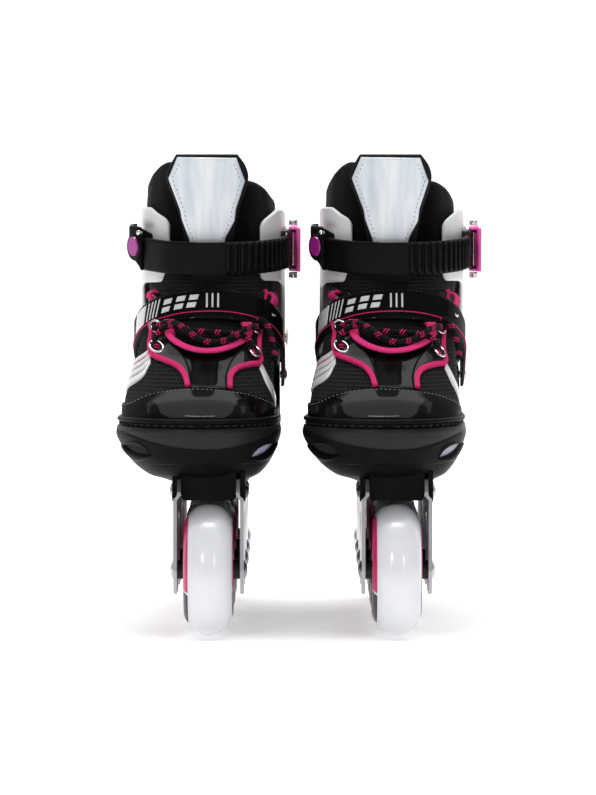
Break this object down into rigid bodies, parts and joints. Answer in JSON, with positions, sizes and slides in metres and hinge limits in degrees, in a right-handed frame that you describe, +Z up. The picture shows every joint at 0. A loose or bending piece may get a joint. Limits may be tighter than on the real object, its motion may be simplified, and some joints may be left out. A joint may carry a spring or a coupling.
{
  "type": "inline skates",
  "caption": "Pair of child's inline skates with a soft boot, hinged cuff, ratchet strap, rail frame and a row of wheels each.",
  "frame": {"origin": "on the ground, at the bottom centre of the pair's bounding box", "axes": "+Z up, toes towards -Y, +X towards the buckle side; the left of the two stands at -X"},
  "size_m": [0.1824, 0.271, 0.2351],
  "materials": {
    "base_plastic": "satin moulded, black",
    "footbed_board": "matt board",
    "boot_mesh": "coarse knitted mesh",
    "collar_fabric": "fine padded mesh",
    "tongue_panel": "glossy pale panel",
    "patent_black": "patent",
    "lace_cord": "round braid",
    "ring_metal": "bright wire",
    "rivet_metal": "satin",
    "rail_aluminium": "satin silver",
    "bolt_steel": "satin",
    "spacer_black": "moulded",
    "bearing_steel": "ground",
    "cuff_white": "semi-gloss moulded",
    "strap_black": "moulded",
    "cap_purple": "gloss",
    "buckle_dark": "satin",
    "lever_pink": "gloss",
    "urethane": "milky cast urethane",
    "hub_plastic": "moulded"
  },
  "bodies": {
    "left_boot": {"left_shell": "base_plastic", "left_footbed": "footbed_board", "left_boot_upper": "boot_mesh", "left_eyelets": "ring_metal", "left_laces": "lace_cord", "left_instep_strap": "patent_black", "left_rivets": "rivet_metal", "left_rail_outer": "rail_aluminium", "left_rail_inner": "rail_aluminium", "left_frame_bolts": "bolt_steel", "left_axle_bolts": "bolt_steel", "left_axle_spacers": "spacer_black", "left_bearings": "bearing_steel"},
    "left_cuff_body": {"left_cuff": "cuff_white", "left_collar": "collar_fabric", "left_tongue": "tongue_panel", "left_strap_tab": "strap_black", "left_strap_screw": "cap_purple", "left_buckle_base": "buckle_dark", "left_buckle_pin": "bolt_steel"},
    "left_strap_body": {"left_ladder_strap": "strap_black"},
    "left_lever_body": {"left_buckle_lever": "lever_pink"},
    "left_wheel_1": {"left_tyre_1": "urethane", "left_hub_1": "hub_plastic"},
    "left_wheel_2": {"left_tyre_2": "urethane", "left_hub_2": "hub_plastic"},
    "left_wheel_3": {"left_tyre_3": "urethane", "left_hub_3": "hub_plastic"},
    "left_wheel_4": {"left_tyre_4": "urethane", "left_hub_4": "hub_plastic"},
    "right_boot": {"right_shell": "base_plastic", "right_footbed": "footbed_board", "right_boot_upper": "boot_mesh", "right_eyelets": "ring_metal", "right_laces": "lace_cord", "right_instep_strap": "patent_black", "right_rivets": "rivet_metal", "right_rail_outer": "rail_aluminium", "right_rail_inner": "rail_aluminium", "right_frame_bolts": "bolt_steel", "right_axle_bolts": "bolt_steel", "right_axle_spacers": "spacer_black", "right_bearings": "bearing_steel"},
    "right_cuff_body": {"right_cuff": "cuff_white", "right_collar": "collar_fabric", "right_tongue": "tongue_panel", "right_strap_tab": "strap_black", "right_strap_screw": "cap_purple", "right_buckle_base": "buckle_dark", "right_buckle_pin": "bolt_steel"},
    "right_strap_body": {"right_ladder_strap": "strap_black"},
    "right_lever_body": {"right_buckle_lever": "lever_pink"},
    "right_wheel_1": {"right_tyre_1": "urethane", "right_hub_1": "hub_plastic"},
    "right_wheel_2": {"right_tyre_2": "urethane", "right_hub_2": "hub_plastic"},
    "right_wheel_3": {"right_tyre_3": "urethane", "right_hub_3": "hub_plastic"},
    "right_wheel_4": {"right_tyre_4": "urethane", "right_hub_4": "hub_plastic"}
  },
  "joints": [
    {"name": "left_cuff_flex", "type": "hinge", "parent": "left_boot", "child": "left_cuff_body", "pos_m": [-0.0453, 0.058, 0.14], "axis": [1, 0, 0], "range_deg": [-3, 4], "stiffness_Nm_per_rad": 3},
    {"name": "left_strap_swing", "type": "hinge", "parent": "left_cuff_body", "child": "left_strap_body", "pos_m": [-0.0802, -0.02198, 0.18493], "axis": [0, -0.0872, 0.9962], "range_deg": [-30, 0]},
    {"name": "left_lever_turn", "type": "hinge", "parent": "left_cuff_body", "child": "left_lever_body", "pos_m": [-0.0041, 0.00282, 0.1871], "axis": [0, 0.0872, -0.9962], "range_deg": [0, 30], "stiffness_Nm_per_rad": 0.02, "springref_deg": -20.05},
    {"name": "left_wheel_spin_1", "type": "hinge", "parent": "left_boot", "child": "left_wheel_1", "pos_m": [-0.0453, -0.1035, 0.032], "axis": [1, 0, 0], "continuous": true},
    {"name": "left_wheel_spin_2", "type": "hinge", "parent": "left_boot", "child": "left_wheel_2", "pos_m": [-0.0453, -0.0345, 0.032], "axis": [1, 0, 0], "continuous": true},
    {"name": "left_wheel_spin_3", "type": "hinge", "parent": "left_boot", "child": "left_wheel_3", "pos_m": [-0.0453, 0.0345, 0.032], "axis": [1, 0, 0], "continuous": true},
    {"name": "left_wheel_spin_4", "type": "hinge", "parent": "left_boot", "child": "left_wheel_4", "pos_m": [-0.0453, 0.1035, 0.032], "axis": [1, 0, 0], "continuous": true},
    {"name": "right_cuff_flex", "type": "hinge", "parent": "right_boot", "child": "right_cuff_body", "pos_m": [0.0467, 0.058, 0.14], "axis": [1, 0, 0], "range_deg": [-3, 4], "stiffness_Nm_per_rad": 3},
    {"name": "right_strap_swing", "type": "hinge", "parent": "right_cuff_body", "child": "right_strap_body", "pos_m": [0.0118, -0.02198, 0.18493], "axis": [0, -0.0872, 0.9962], "range_deg": [-30, 0]},
    {"name": "right_lever_turn", "type": "hinge", "parent": "right_cuff_body", "child": "right_lever_body", "pos_m": [0.0879, 0.00282, 0.1871], "axis": [0, 0.0872, -0.9962], "range_deg": [0, 30], "stiffness_Nm_per_rad": 0.02, "springref_deg": -20.05},
    {"name": "right_wheel_spin_1", "type": "hinge", "parent": "right_boot", "child": "right_wheel_1", "pos_m": [0.0467, -0.1035, 0.032], "axis": [1, 0, 0], "continuous": true},
    {"name": "right_wheel_spin_2", "type": "hinge", "parent": "right_boot", "child": "right_wheel_2", "pos_m": [0.0467, -0.0345, 0.032], "axis": [1, 0, 0], "continuous": true},
    {"name": "right_wheel_spin_3", "type": "hinge", "parent": "right_boot", "child": "right_wheel_3", "pos_m": [0.0467, 0.0345, 0.032], "axis": [1, 0, 0], "continuous": true},
    {"name": "right_wheel_spin_4", "type": "hinge", "parent": "right_boot", "child": "right_wheel_4", "pos_m": [0.0467, 0.1035, 0.032], "axis": [1, 0, 0], "continuous": true},
    {"name": "right_skate_roll", "type": "slide", "parent": "left_boot", "child": "right_boot", "axis": [0, 1, 0], "range_m": [-0.15, 0.15]}
  ]
}
